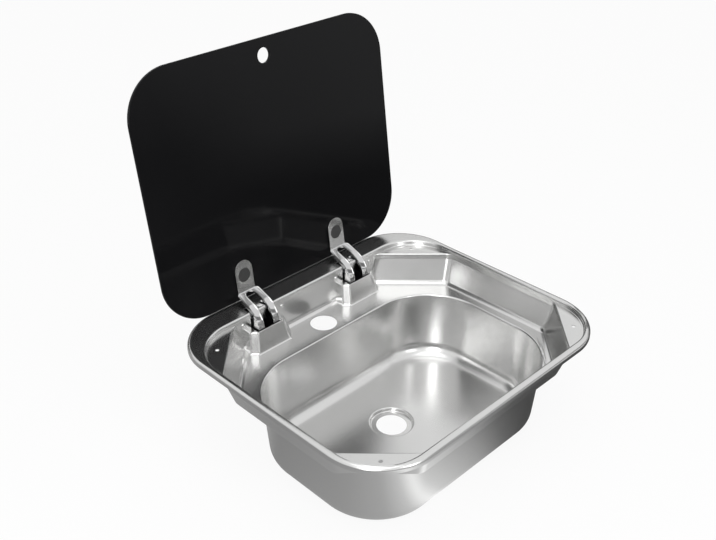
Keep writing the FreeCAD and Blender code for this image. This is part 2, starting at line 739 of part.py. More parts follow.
def pocket_liner(label, side):
    """A plastic tub behind the hinge box, stepped down in front to pass under the box's top."""
    body = new_body(label)
    front = "(sizes.recess_depth / 2 - sizes.box_reach + sizes.sheet_gauge + sizes.liner_front_gap)"
    rear = f"({PIN_Y} + sizes.liner_rear_reach + sizes.liner_gauge)"
    floor = f"({PIN_Z} - sizes.liner_floor)"
    step = "(-sizes.box_drop - sizes.liner_sheet_gap)"
    rim = f"({PIN_Z} + sizes.liner_top)"
    behind = f"({WALL_BACK} + sizes.liner_sheet_gap)"
    profile = new_sketch(body, "profile", "YZ_Plane")
    draw_polygon(profile, [
        (front, f"{floor} - sizes.liner_gauge"), (rear, f"{floor} - sizes.liner_gauge"),
        (rear, rim), (behind, rim), (behind, step), (front, step)])
    pad(body, "block", profile, f"2 * {LINER_HALF}", "Symmetric")
    hollow = new_sketch(body, "hollow", "YZ_Plane")
    draw_rectangle(hollow, (f"{front} + sizes.liner_gauge", floor),
                   (f"{PIN_Y} + sizes.liner_rear_reach", f"{rim} + sizes.liner_gauge"))
    pocket(body, "inside", hollow, f"2 * ({LINER_HALF} - sizes.liner_gauge)")
    pin_hole = new_sketch(body, "pin", "YZ_Plane")
    draw_circle(pin_hole, PIN_Y, PIN_Z, "sizes.pin_width + 2 * sizes.pin_room")
    pocket_through(body, "pin_hole", pin_hole)
    body.Placement = Placement(Vector(side * HINGE_X, 0, 0), Rotation())
    return body


def hinge_bracket(label, side):
    """A folded bracket: two cheeks for the pin, two ears for the rivets and a stop web."""
    body = new_body(label)
    cheek = new_sketch(body, "cheek", "YZ_Plane")
    draw_polygon(cheek, [
        (WALL_BACK, f"{PIN_Z} - sizes.ear_drop"), (f"{PIN_Y} - sizes.cheek_reach",
                                                   f"{PIN_Z} - sizes.cheek_drop"),
        (f"{PIN_Y} + sizes.cheek_reach", f"{PIN_Z} - sizes.cheek_drop"),
        (f"{PIN_Y} + sizes.cheek_reach", f"{PIN_Z} + sizes.cheek_rise"),
        (WALL_BACK, f"{PIN_Z} + sizes.cheek_rise")])
    pad(body, "cheeks", cheek, f"2 * ({CHEEK_HALF} + sizes.bracket_gauge)", "Symmetric")
    ears = new_sketch(body, "ears", "XZ_Plane", f"-{WALL_BACK}")
    reach = f"({CHEEK_HALF} + sizes.ear_width)"
    draw_rectangle(ears, (f"-{reach}", f"{PIN_Z} - sizes.ear_drop"),
                   (reach, f"{PIN_Z} + sizes.cheek_rise"))
    pad(body, "ear_plate", ears, "sizes.bracket_gauge", reverse=True)
    inside = new_sketch(body, "inside", "YZ_Plane")
    stop_front = f"({PIN_Y} - sizes.stop_reach)"
    stop_under = f"({PIN_Z} + sizes.stop_rise)"
    stop_back = f"({stop_front} + sizes.stop_run)"
    stop_over = f"({stop_under} + sizes.bracket_gauge)"
    low = f"({PIN_Z} - 2 * sizes.cheek_drop)"
    high = f"({PIN_Z} + 2 * sizes.cheek_rise)"
    before = f"({WALL_Y} - sizes.sheet_gauge)"
    after = f"({PIN_Y} + 2 * sizes.cheek_reach)"
    draw_rectangle(inside, (before, low), (after, high))
    draw_rectangle(inside, (stop_front, stop_under), (stop_back, stop_over))
    pocket(body, "channel", inside, f"2 * {CHEEK_HALF}")
    pin_hole = new_sketch(body, "pin", "YZ_Plane")
    draw_circle(pin_hole, PIN_Y, PIN_Z, "sizes.pin_width + 2 * sizes.pin_running")
    pocket_through(body, "pin_hole", pin_hole)
    holes = new_sketch(body, "rivets", "XZ_Plane")
    for sign in ("-", ""):
        draw_circle(holes, f"{sign}sizes.rivet_spread / 2", f"{PIN_Z} + sizes.rivet_rise",
                    "sizes.rivet_width + 2 * sizes.rivet_running")
    pocket_through(body, "rivet_holes", holes)
    body.Placement = Placement(Vector(side * HINGE_X, 0, 0), Rotation())
    return body


# ---------------------------------------------------------------- pin, bushes, clips, rivets

def revolved(label, steps):
    """A turned piece along Z: steps are pairs of a radius and the height it runs up to."""
    body = new_body(label)
    sketch = new_sketch(body, "profile", "XZ_Plane")
    start = steps[0]
    corners = [("0", start[1]), (start[0], start[1])]
    for radius, top in steps[1:]:
        corners.append((radius, corners[-1][1]))
        corners.append((radius, top))
    corners.append(("0", corners[-1][1]))
    tidy = [corners[0]]
    for corner in corners[1:]:
        if corner != tidy[-1]:
            tidy.append(corner)
    draw_polygon(sketch, tidy)
    feature = body.newObject("PartDesign::Revolution", f"{label}_turned")
    feature.Profile = sketch
    feature.ReferenceAxis = (sketch, ["V_Axis"])
    feature.Angle = 360
    return body


def along_pivot(side):
    """Lays a turned piece along the pivot of one hinge, facing away from the middle."""
    return Placement(Vector(side * HINGE_X, PIVOT_Y, PIVOT_Z), Rotation(Y_AXIS, side * 90))


def hinge_pin(label, side):
    """Head at one cheek, shank through both, groove and tail beyond the other."""
    pin_radius = "sizes.pin_width / 2"
    body = revolved(label, [
        ("sizes.pin_head_width / 2", f"-{CHEEK_OUT} - sizes.pin_head"),
        ("sizes.pin_head_width / 2", f"-{CHEEK_OUT}"),
        (pin_radius, CLIP_SEAT),
        (f"{pin_radius} - sizes.clip_groove", f"{CLIP_SEAT} + sizes.clip_gauge + sizes.seat_gap"),
        (pin_radius, f"{CLIP_SEAT} + sizes.clip_gauge + sizes.seat_gap + sizes.pin_tail")])
    body.Placement = along_pivot(side)
    return body


def group(label, shapes):
    """Identical pieces that share one node, each its own solid."""
    feature = doc.addObject("Part::Feature", label)
    feature.Label = label
    feature.Shape = Part.makeCompound(shapes)
    return feature


def bush_shape(side):
    """A flanged bush, pressed into an eye from its outer side."""
    inner = size("pin_width") / 2 + size("pin_running")
    outer = inner + size("bush_gauge")
    half = size("arm_width") / 2
    flange = size("bush_flange")
    base = Vector(side * (half - size("flange_gauge")), PIVOT_Y, PIVOT_Z)
    axis = X_AXIS * side
    sleeve = Part.makeCylinder(outer, size("flange_gauge") + flange, base, axis)
    rim = Part.makeCylinder(size("bush_flange_width") / 2, flange,
                            base + axis * size("flange_gauge"), axis)
    bore = Part.makeCylinder(inner, 4 * half, base - axis * half, axis)
    return sleeve.fuse(rim).cut(bore)


def pivot_bushes(label, side):
    """The two bushes of one hinge."""
    feature = group(label, [bush_shape(-1), bush_shape(1)])
    feature.Placement = open_placement(side * HINGE_X)
    return feature


def clip_shape(side):
    """A spring clip in the pin's groove: a flat ring with an open mouth."""
    gauge = size("clip_gauge")
    axis = X_AXIS * side
    base = Vector(side * (HINGE_X + CLIP_IN + size("seat_gap") / 2), PIVOT_Y, PIVOT_Z)
    groove_radius = size("pin_width") / 2 - size("clip_groove") + size("pin_running")
    ring = Part.makeCylinder(size("clip_width") / 2, gauge, base, axis)
    bore = Part.makeCylinder(groove_radius, 3 * gauge, base - axis * gauge, axis)
    half = size("clip_mouth") / 2
    mouth = block((base.x - 2 * gauge, PIVOT_Y - half, PIVOT_Z - size("clip_width")),
                  (base.x + 2 * gauge, PIVOT_Y + half, PIVOT_Z))
    return ring.cut([bore, mouth])


def rivet_shape(x):
    """Domed head on the rear wall's face, shank through wall and ear, formed tail behind."""
    head = size("rivet_head")
    head_radius = size("rivet_head_width") / 2
    sphere_radius = (head_radius ** 2 + head ** 2) / (2 * head)
    face = Vector(x, REAR_WALL, RIVET_Z)
    ball = Part.makeSphere(sphere_radius, face + Y_AXIS * (sphere_radius - head))
    cap = ball.common(Part.makeCylinder(2 * head_radius, head, face, -Y_AXIS))
    grip = GAUGE + size("bracket_gauge")
    shank = Part.makeCylinder(size("rivet_width") / 2, grip, face, Y_AXIS)
    tail = Part.makeCylinder(size("rivet_tail_width") / 2, size("rivet_tail"),
                             face + Y_AXIS * grip, Y_AXIS)
    return cap.fuse([shank, tail])


for name, side in SIDES:
    hinge_arm(f"hinge_arm_{name}", side)
    bond_pad(f"bond_pad_{name}", side)
    hinge_bracket(f"hinge_bracket_{name}", side)
    pocket_liner(f"pocket_liner_{name}", side)
    hinge_pin(f"hinge_pin_{name}", side)
    pivot_bushes(f"pivot_bushes_{name}", side)
group("pin_clips", [clip_shape(side) for _, side in SIDES])
group("hinge_rivets", [rivet_shape(x) for _, side in SIDES for x in rivet_places(side)])


# ---------------------------------------------------------------- check and write

doc.recompute()
for item in doc.Objects:
    if "Invalid" in item.State or "Error" in item.State:
        raise RuntimeError(f"{item.Label} failed: {item.State}")

os.makedirs("parts", exist_ok=True)
for item in doc.Objects:
    if item.isDerivedFrom("PartDesign::Body") or item.TypeId == "Part::Feature":
        if item.Shape.isNull() or not item.Shape.isValid():
            raise RuntimeError(f"{item.Label} has no valid shape")
        item.Shape.exportStep(f"parts/{item.Label}.step")
        print(f"{item.Label}: {len(item.Shape.Solids)} solid(s), {item.Shape.Volume:.0f} mm3")
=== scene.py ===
"""Looks of a drop-in sink with a hinged glass lid.

Sizes are in millimetres, in the frame of the solids, and MM turns them into the scene's metres.
+X runs along the sink's width, +Y to the hinges, +Z up, and z = 0 is the worktop. Every drawn
shape is a grid worked out with numpy: rings of points that run round the sink, joined along a
profile whose corners are rounded. Only the lamps' places and sizes are written in metres.
"""
import math

import bmesh
import bpy
import numpy as np
from mathutils import Matrix, Vector


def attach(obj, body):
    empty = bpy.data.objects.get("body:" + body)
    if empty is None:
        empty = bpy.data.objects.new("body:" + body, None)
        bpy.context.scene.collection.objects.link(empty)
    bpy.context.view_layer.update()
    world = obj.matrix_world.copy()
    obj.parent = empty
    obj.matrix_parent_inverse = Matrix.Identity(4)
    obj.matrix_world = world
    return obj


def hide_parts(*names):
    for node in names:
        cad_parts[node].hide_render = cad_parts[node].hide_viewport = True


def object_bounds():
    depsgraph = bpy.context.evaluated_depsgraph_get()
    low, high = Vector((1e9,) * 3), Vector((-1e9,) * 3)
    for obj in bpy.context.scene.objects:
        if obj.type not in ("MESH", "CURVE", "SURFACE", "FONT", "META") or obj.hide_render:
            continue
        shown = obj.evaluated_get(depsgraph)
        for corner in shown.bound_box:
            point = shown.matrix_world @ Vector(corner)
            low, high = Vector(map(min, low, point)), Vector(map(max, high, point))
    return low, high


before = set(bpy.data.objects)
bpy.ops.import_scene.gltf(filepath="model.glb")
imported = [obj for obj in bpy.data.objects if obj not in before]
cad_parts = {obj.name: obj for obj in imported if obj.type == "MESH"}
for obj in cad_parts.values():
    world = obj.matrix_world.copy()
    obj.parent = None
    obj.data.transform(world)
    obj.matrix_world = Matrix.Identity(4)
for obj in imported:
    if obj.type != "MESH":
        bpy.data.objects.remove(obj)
cad_low, cad_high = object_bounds()

MM = 0.001
SIDES = {"left": -1, "right": 1}

# ---------------------------------------------------------------- sizes
# X is half a width, FRONT and REAR are places along Y, and R is a radius in plan.

SHEET = 0.8
RECESS_X, RECESS_Y, RECESS_R = 201.5, 161.7, 62.0
RIM_X, RIM_FRONT, RIM_REAR, RIM_R = 210.0, -171.8, 198.2, 77.0
RIM_TOP, LIP_ROLL, RIM_EDGE, RECESS_FOOT = 7.5, 4.5, 3.0, 1.5
SHELF_TOP, SHELF_EDGE = 0.8, 2.2
SHELF_LINE = 289.94          # x + y all along the edge of a corner shelf
CREASE, CREASE_R = -6.2, 3.0
PAN_R, PAN_RUN, PAN_FOOT = 16.0, 11.5, 8.0
LEDGE = -41.8
BOWL_X, BOWL_FRONT, BOWL_REAR, BOWL_R = 174.5, -134.2, 108.8, 85.0
BOWL_DRAFT, BOWL_EDGE, BOWL_FOOT = 7.5, 2.4, 20.0
FLOOR = -136.7
DRAIN_Y, SEAT_R, SEAT_FLOOR, SEAT_EDGE, BORE_R = 7.8, 28.0, -141.5, 1.5, 20.0
TAP_Y, TAP_R = 134.9, 18.0
SCREW_X, SCREW_Y, SCREW_R = 173.15, 136.4, 2.5

# Hinge boxes, with the mouth in which the arm turns and the tab between the slots for its legs.
HINGE_X = 81.0
BOX_TOP, BOX_HALF, BOX_FRONT = -14.2, 28.0, 146.6
BOX_FOOT_HALF, BOX_FOOT_FRONT, BOX_CHAMFER = 34.0, 138.9, 8.0
BOX_EDGE, BOX_UPRIGHT_EDGE, BOX_CREASE = 1.4, 3.0, 1.0
BOX_FOOT_R, BOX_FLARE, BOX_CLEAR = 3.0, 5.0, 0.02
MOUTH_HALF, MOUTH_FRONT, MOUTH_CHAMFER, MOUTH_CORNER = 19.9, 147.4, 0.5, 0.3
TAB_HALF, TAB_OVERLAP, SLOT_REAR = 5.5, 1.0, 176.0

# Glass as it lies closed, and the turn that opens it.
GLASS_X, GLASS_FRONT, GLASS_REAR, GLASS_R = 199.0, -160.48, 156.7, 59.5
GLASS_TOP, GLASS_UNDER, GLASS_EDGE, FINGER_EDGE = 7.4, 3.4, 0.8, 0.5
FINGER_Y, FINGER_R = -139.0, 9.5
PIVOT_Y, PIVOT_Z, OPEN_ANGLE = 177.2, -9.45, 97.6

# Rivets: radius and distance in front of the rear wall, from the dimple round head and tail.
RIVET_SPREAD, RIVET_Z, RIVET_SIDES = 64.5, -5.2, 48
RIVET_SHANK, RIVET_TAIL, RIVET_GRIP, RIVET_END = 1.6, 2.5, 2.3, 3.5
RIVET_PROFILE = [(0.02, 0.7), (0.8, 0.7), (0.95, 1.25), (1.2, 1.46), (1.6, 1.45), (2.2, 1.15),
                 (2.7, 0.7), (3.0, 0.15), (3.0, 0.0), (RIVET_SHANK, 0.0),
                 (RIVET_SHANK, -RIVET_GRIP), (RIVET_TAIL, -RIVET_GRIP),
                 (RIVET_TAIL, -RIVET_END), (0.02, -RIVET_END)]

# Outer faces of an open arm: the way they look, the web's top, how far the middle of a leg lies
# beside the arm's, the smallest area, and the raised edge and depth of the pressed channel.
FACE_WAY = Vector((0, -0.6, 0.8))
WEB_TOP, LEG_MIDDLE, LEAST_FACE = 40.0, 12.25, 8.0
LEG_EDGE, LEG_SUNK = 1.7, 0.9

FINE = 2                     # how finely every ring is divided
HOLD = 0.7                   # rows this close to each rounded corner keep flat faces flat
MERGE = 0.004                # points closer than this are one
SPARE = 2.0                  # how far a cutter reaches past what it cuts


# ---------------------------------------------------------------- outlines in plan

class Outline:
    """A path of straight runs joined by tangent arcs, read by its length.

    Corner i turns the path by the angle between its two runs; the arc of radius r that touches
    both starts r * tan(turn / 2) before the corner and is r * turn long.
    """

    def __init__(self, points, radii):
        points = np.array(points, float)
        radii = np.array([0.0, *radii, 0.0])
        runs = np.diff(points, axis=0)
        lengths = np.linalg.norm(runs, axis=1)
        ways = runs / lengths[:, None]
        cross = ways[:-1, 0] * ways[1:, 1] - ways[:-1, 1] * ways[1:, 0]
        turns = np.arctan2(cross, (ways[:-1] * ways[1:]).sum(axis=1))
        turns = np.concatenate([[0.0], turns, [0.0]])
        reach = radii * np.tan(np.abs(turns) / 2)
        self.pieces = []
        self.breaks = [0.0]
        for index, way in enumerate(ways):
            start = points[index] + way * reach[index]
            straight = lengths[index] - reach[index] - reach[index + 1]
            self.add(straight, start, way, 0.0, 0.0)
            if index + 1 < len(ways) and radii[index + 1] > 0:
                turn, radius = turns[index + 1], radii[index + 1]
                self.add(abs(turn) * radius, start + way * straight, way, radius, np.sign(turn))

    def add(self, length, start, way, radius, sign):
        """Append a straight run, or an arc that turns to the sign's side."""
        self.pieces.append((self.breaks[-1], start, way, radius, sign))
        self.breaks.append(self.breaks[-1] + length)

    def at(self, lengths):
        """Points and outward normals at these lengths; outward is to the left of travel."""
        lengths = np.asarray(lengths, float)
        points = np.zeros((len(lengths), 2))
        ways = np.zeros((len(lengths), 2))
        for begin, start, way, radius, sign in self.pieces:
            here = lengths >= begin - 1e-9
            along = (lengths[here] - begin)[:, None]
            side = np.array([-way[1], way[0]]) * sign
            if radius > 0:
                angle = along / radius
                points[here] = start + (way * np.sin(angle) + side * (1 - np.cos(angle))) * radius
                ways[here] = way * np.cos(angle) + side * np.sin(angle)
            else:
                points[here] = start + way * along
                ways[here] = way
        return points, np.stack([-ways[:, 1], ways[:, 0]], axis=1)


def spread(breaks, counts):
    """Lengths along a path: each stretch between two breaks in so many equal steps."""
    stretches = [np.linspace(a, b, count * FINE, endpoint=False)
                 for a, b, count in zip(breaks[:-1], breaks[1:], counts)]
    return np.concatenate([*stretches, [breaks[-1]]])


# Each ring runs clockwise over half the sink, from the middle of the rear to the middle of the
# front, and its mirror image makes the rest. These are its steps on each stretch.
WALL_COUNTS = {"rear": 24, "bend": 8, "diagonal": 14, "side": 16, "front": 20}
BOWL_COUNTS = (20, 36, 12, 34, 18)
GLASS_COUNTS = (6, 24, 6, 24, 6)
BOX_COUNTS = (5, 5, 4, 5, 12, 5, 4, 5, 5)


def pan_keys():
    """Where the pan's outline leaves the end wall and the side wall: where the shelf's line
    meets each wall, less r * tan(45 / 2) for the rounded corner."""
    reach = PAN_R * math.tan(math.pi / 8)
    return SHELF_LINE - RECESS_Y - reach, SHELF_LINE - RECESS_X - reach


def wall_ring(half_width, front, rear, radius):
    """Half a rounded rectangle, divided where the pan's corners start: the whole corner between
    the end wall's key and the side wall's key is one evenly divided stretch."""
    key_x, key_y = pan_keys()
    outline = Outline([(0, rear), (half_width, rear), (half_width, front), (0, front)],
                      [radius, radius])
    ends = outline.breaks
    breaks = [0, key_x, ends[2] + rear - radius - key_y, ends[3] - (-key_y - front - radius),
              ends[-1] - key_x, ends[-1]]
    corner = 2 * WALL_COUNTS["bend"] + WALL_COUNTS["diagonal"]
    counts = [WALL_COUNTS["rear"], corner, WALL_COUNTS["side"], corner, WALL_COUNTS["front"]]
    return outline.at(spread(breaks, counts))[0]


def pan_ring(inset):
    """Half the pan's eight-sided outline, drawn in on every side but the rear."""
    side, front, rear = RECESS_X - inset, -RECESS_Y + inset, RECESS_Y
    line = SHELF_LINE - inset * math.sqrt(2)
    outline = Outline([(0, rear), (line - rear, rear), (side, line - side), (side, side - line),
                       (line + front, front), (0, front)], [PAN_R] * 4)
    counts = [WALL_COUNTS[name] for name in ("rear", "bend", "diagonal", "bend", "side", "bend",
                                             "diagonal", "bend", "front")]
    return outline.at(spread(outline.breaks, counts))


def drawn_in(half_width, front, rear, radius, inset, counts):
    """Half a rounded rectangle, drawn in by an inset on every side."""
    side, front, rear = half_width - inset, front + inset, rear - inset
    outline = Outline([(0, rear), (side, rear), (side, front), (0, front)], [radius - inset] * 2)
    return outline.at(spread(outline.breaks, counts))


def bowl_ring(inset):
    """Half the bowl's mouth, drawn in."""
    return drawn_in(BOWL_X, BOWL_FRONT, BOWL_REAR, BOWL_R, inset, BOWL_COUNTS)


def glass_ring(inset):
    """Half the glass's outline, drawn in."""
    return drawn_in(GLASS_X, GLASS_FRONT, GLASS_REAR, GLASS_R, inset, GLASS_COUNTS)[0]


def drain_ring(like, radius):
    """Half a circle round the drain, each point on the ray to its partner in another ring."""
    away = like - np.array([0, DRAIN_Y])
    away[[0, -1], 0] = 0
    unit = away / np.linalg.norm(away, axis=1)[:, None]
    return np.array([0, DRAIN_Y]) + unit * radius


def box_ring(half, front, rear, chamfer, edge, crease=0.0):
    """Plan of a hinge box from wall to wall: side, chamfer, front, chamfer, side. Each upright
    edge is pressed in by a crease, which follows sin squared over its arc."""
    points = [(-half, rear), (-half, front + chamfer), (-half + chamfer, front),
              (half - chamfer, front), (half, front + chamfer), (half, rear)]
    outline = Outline(points, [edge] * 4)
    along = spread(outline.breaks, BOX_COUNTS)
    points, out = outline.at(along)
    for start, end in zip(outline.breaks[1:-1:2], outline.breaks[2::2]):
        part = np.clip((along - start) / (end - start), 0, 1)
        points -= out * (crease * np.sin(math.pi * part) ** 2)[:, None]
    return points, out


def raised(points, height):
    """Plan points at one height."""
    return np.column_stack([points, np.full(len(points), float(height))])


# ---------------------------------------------------------------- profiles with rounded corners

def rounded_profile(start, corners, end):
    """Rows of a surface from one ring to another, through rings at which it turns.

    Each corner is its ring, its radius, its steps and the share of the shorter run that its arc
    may take. For one column the rings are the corners of a polyline. At a corner with the angle
    a between its two runs, an arc of radius r touches both at r / tan(a / 2) from the corner;
    where that is more than the share, the radius shrinks to fit. The arc's points are the
    spherical blend of its two end directions about its centre.
    """
    rings = [start, *(corner[0] for corner in corners), end]
    rows = [start]
    last = start
    for before, (corner, radius, steps, share), after in zip(rings, corners, rings[2:]):
        back, ahead = before - corner, after - corner
        back_run = np.linalg.norm(back, axis=1)[:, None]
        ahead_run = np.linalg.norm(ahead, axis=1)[:, None]
        back = back / np.maximum(back_run, 1e-9)
        ahead = ahead / np.maximum(ahead_run, 1e-9)
        angle = np.arccos(np.clip((back * ahead).sum(axis=1), -1, 1))[:, None]
        half = np.clip(angle / 2, 0.02, math.pi / 2 - 1e-4)
        touch = np.minimum(radius / np.tan(half), share * np.minimum(back_run, ahead_run))
        fitted = touch * np.tan(half)
        middle = back + ahead
        middle = middle / np.maximum(np.linalg.norm(middle, axis=1)[:, None], 1e-9)
        centre = corner + middle * fitted / np.sin(half)
        first, final = corner + back * touch, corner + ahead * touch
        rows += held(last, first)
        sweep = math.pi - 2 * half
        for part in np.linspace(0, 1, steps + 1):
            blend = (np.sin((1 - part) * sweep) * (first - centre)
                     + np.sin(part * sweep) * (final - centre)) / np.sin(sweep)
            flat = first + (final - first) * part
            rows.append(np.where(sweep < 0.01, flat, centre + blend))
        last = final
    return [*rows, *held(last, end), end]


def held(start, end):
    """Two rows near the ends of a straight stretch."""
    run = np.linalg.norm(end - start, axis=1)[:, None]
    step = (end - start) / np.maximum(run, 1e-9) * np.minimum(HOLD, run / 3)
    return [start + step, end - step]


def mirrored(row):
    """A half ring and its mirror image as one closed ring."""
    other = row[-2:0:-1] * np.array([-1, 1, 1])
    return np.concatenate([row, other])


def grid_faces(rows, columns, closed):
    """Corners of every quad between neighbouring rows and columns, turned to face outwards."""
    down = np.arange(rows - 1)[:, None]
    across = np.arange(columns if closed else columns - 1)[None, :]
    beside = (across + 1) % columns
    corners = [down * columns + across, (down + 1) * columns + across,
               (down + 1) * columns + beside, down * columns + beside]
    return np.stack([np.broadcast_to(c, corners[0].shape) for c in corners], axis=-1).reshape(-1, 4)


# ---------------------------------------------------------------- meshes

def linked(name, data):
    """An object in the scene, at the origin, that shows a mesh, a lamp or a camera."""
    piece = bpy.data.objects.new(name, data)
    bpy.context.scene.collection.objects.link(piece)
    return piece


def meshed(name, points, faces):
    """A mesh object from points in millimetres and a list of the faces' corners."""
    mesh = bpy.data.meshes.new(name)
    mesh.from_pydata((np.asarray(points) * MM).tolist(), [], faces)
    return linked(name, mesh)


def merge(mesh):
    """Merge doubled points and drop the faces that close up with them."""
    work = bmesh.new()
    work.from_mesh(mesh)
    bmesh.ops.remove_doubles(work, verts=work.verts, dist=MERGE * MM)
    bmesh.ops.dissolve_degenerate(work, edges=work.edges, dist=MERGE * MM)
    work.to_mesh(mesh)
    work.free()


def smooth(piece, degrees=35):
    """Smooth shading, with every edge that turns more than this left sharp."""
    mesh = piece.data
    mesh.polygons.foreach_set("use_smooth", np.ones(len(mesh.polygons), bool))
    mesh.set_sharp_from_angle(angle=math.radians(degrees))


def bake_modifiers(piece):
    """Replace a piece's mesh by the one that its modifiers make."""
    bpy.context.view_layer.update()
    graph = bpy.context.evaluated_depsgraph_get()
    finished = bpy.data.meshes.new_from_object(piece.evaluated_get(graph))
    piece.modifiers.clear()
    old = piece.data
    piece.data = finished
    bpy.data.meshes.remove(old)


def drawn_sheet(name, rows, closed):
    """A sheet drawn over the rows of a grid, its thickness away from the side that shows."""
    sheet = meshed(name, np.concatenate(rows),
                   grid_faces(len(rows), len(rows[0]), closed).tolist())
    merge(sheet.data)
    wall = sheet.modifiers.new("sheet", "SOLIDIFY")
    wall.thickness = SHEET * MM
    wall.offset = -1.0
    wall.use_even_offset = False
    bake_modifiers(sheet)
    return sheet


def break_edges(piece, width, degrees):
    """Bevel every edge that turns more than this, in two narrow steps."""
    edge = piece.modifiers.new("edges", "BEVEL")
    edge.width = width * MM
    edge.segments = 2
    edge.limit_method = "ANGLE"
    edge.angle_limit = math.radians(degrees)


# ---------------------------------------------------------------- cutting

def block(low, high):
    """Corner points and faces of a box."""
    x, y, z = zip(low, high)
    points = [(x[i], y[j], z[k]) for i in (0, 1) for j in (0, 1) for k in (0, 1)]
    faces = [(0, 1, 3, 2), (4, 6, 7, 5), (0, 4, 5, 1), (2, 3, 7, 6), (0, 2, 6, 4), (1, 5, 7, 3)]
    return points, faces


def drum(x, y, radius, low, high, sides=96):
    """Corner points and faces of an upright cylinder."""
    turn = np.linspace(0, 2 * math.pi, sides, endpoint=False)
    ring = np.column_stack([x + radius * np.cos(turn), y + radius * np.sin(turn)])
    points = np.concatenate([raised(ring, low), raised(ring, high)])
    faces = [tuple(range(sides - 1, -1, -1)), tuple(range(sides, 2 * sides))]
    faces += [(i, (i + 1) % sides, sides + (i + 1) % sides, sides + i) for i in range(sides)]
    return points.tolist(), faces


def box_block(centre, shrink):
    """Corner points and faces of a hinge box as a tapered block, drawn in by a shrink. Its walls
    run on in a straight line to below the ledge."""
    depth = BOX_TOP - LEDGE
    spreading = (depth + PAN_FOOT) / depth
    low_half = BOX_HALF + (BOX_FOOT_HALF - BOX_HALF) * spreading
    low_front = BOX_FRONT + (BOX_FOOT_FRONT - BOX_FRONT) * spreading
    points = []
    for half, front, height in ((BOX_HALF, BOX_FRONT, BOX_TOP - shrink),
                                (low_half, low_front, LEDGE - PAN_FOOT)):
        side, face, rear = half - shrink, front + shrink, RECESS_Y + 2 * SHEET
        back = face + BOX_CHAMFER
        plan = [(side, rear), (-side, rear), (-side, back), (-side + BOX_CHAMFER, face),
                (side - BOX_CHAMFER, face), (side, back)]
        points += [(centre + x, y, height) for x, y in plan]
    faces = [tuple(range(6)), tuple(range(11, 5, -1))]
    faces += [(i, 6 + i, 6 + (i + 1) % 6, (i + 1) % 6) for i in range(6)]
    return points, faces


def cut(piece, solids):
    """Cut a group of closed solids, which don't touch each other, out of a piece."""
    points, faces = [], []
    for solid_points, solid_faces in solids:
        base = len(points)
        points += solid_points
        faces += [tuple(corner + base for corner in face) for face in solid_faces]
    cutter = meshed("cutter", points, faces)
    mesh = cutter.data
    change = piece.modifiers.new("cut", "BOOLEAN")
    change.operation = "DIFFERENCE"
    change.solver = "EXACT"
    change.object = cutter
    bake_modifiers(piece)
    bpy.data.objects.remove(cutter)
    bpy.data.meshes.remove(mesh)


# ---------------------------------------------------------------- sink

def sink_rows():
    """The drawn sheet's upper face, from the rolled lip over rim, recess, shelf, pan wall, ledge,
    bowl and drain seat to the drain's bore."""
    rim = wall_ring(RIM_X, RIM_FRONT, RIM_REAR, RIM_R)
    recess = wall_ring(RECESS_X, -RECESS_Y, RECESS_Y, RECESS_R)
    shelf, _ = pan_ring(0)
    foot, foot_out = pan_ring(PAN_RUN)
    mouth, mouth_out = bowl_ring(0)
    floor, floor_out = bowl_ring(BOWL_DRAFT)
    seat = drain_ring(floor, SEAT_R)
    on_flat = (0.5, 1, 0.1)
    corners = [
        (raised(rim, RIM_TOP), LIP_ROLL, 8, 0.95),
        (raised(recess, RIM_TOP), RIM_EDGE, 5, 0.9),
        (raised(recess, SHELF_TOP), RECESS_FOOT, 4, 0.45),
        (raised(shelf, SHELF_TOP), SHELF_EDGE, 6, 0.45),
        (raised(shelf, CREASE), CREASE_R, 4, 0.45),
        (raised(foot, LEDGE), PAN_FOOT, 8, 0.9),
        (raised(foot - foot_out * (PAN_FOOT + 2), LEDGE), *on_flat),
        (raised(mouth + mouth_out * 2 * BOWL_EDGE, LEDGE), *on_flat),
        (raised(mouth, LEDGE), BOWL_EDGE, 6, 0.9),
        (raised(floor, FLOOR), BOWL_FOOT, 10, 0.9),
        (raised(floor - floor_out * (BOWL_FOOT + 2), FLOOR), *on_flat),
        (raised(drain_ring(floor, SEAT_R + 4), FLOOR), *on_flat),
        (raised(seat, FLOOR), SEAT_EDGE, 4, 0.45),
        (raised(seat, SEAT_FLOOR), SEAT_EDGE, 4, 0.45),
    ]
    bore = raised(drain_ring(floor, BORE_R), SEAT_FLOOR)
    return rounded_profile(raised(rim, 0), corners, bore)


def sink_skin():
    """The whole sheet, pierced for tap and screws, slotted for the arms' legs and open where the
    hinge boxes stand."""
    skin = drawn_sheet("sink_skin", [mirrored(row) for row in sink_rows()], closed=True)
    holes = [drum(0, TAP_Y, TAP_R, LEDGE - 3 * SHEET, LEDGE + SHEET)]
    holes += [drum(x, y, SCREW_R, -2 * SHEET, SHELF_TOP + SHEET, 40)
              for x in (-SCREW_X, SCREW_X) for y in (-SCREW_Y, SCREW_Y)]
    centres = [side * HINGE_X for side in SIDES.values()]
    front, low, top = RECESS_Y - SPARE, BOX_TOP - SPARE, RIM_TOP + SPARE
    tab = TAB_HALF + TAB_OVERLAP
    cut(skin, holes)
    cut(skin, [block((centre + left, front, low), (centre + right, SLOT_REAR, top))
               for centre in centres
               for left, right in ((-MOUTH_HALF, -TAB_HALF), (TAB_HALF, MOUTH_HALF))])
    cut(skin, [block((centre - tab, front, low),
                     (centre + tab, RECESS_Y + 2 * SHEET, BOX_TOP + SHEET / 2))
               for centre in centres])
    cut(skin, [box_block(centre, SHEET / 2) for centre in centres])
    smooth(skin)
    return skin


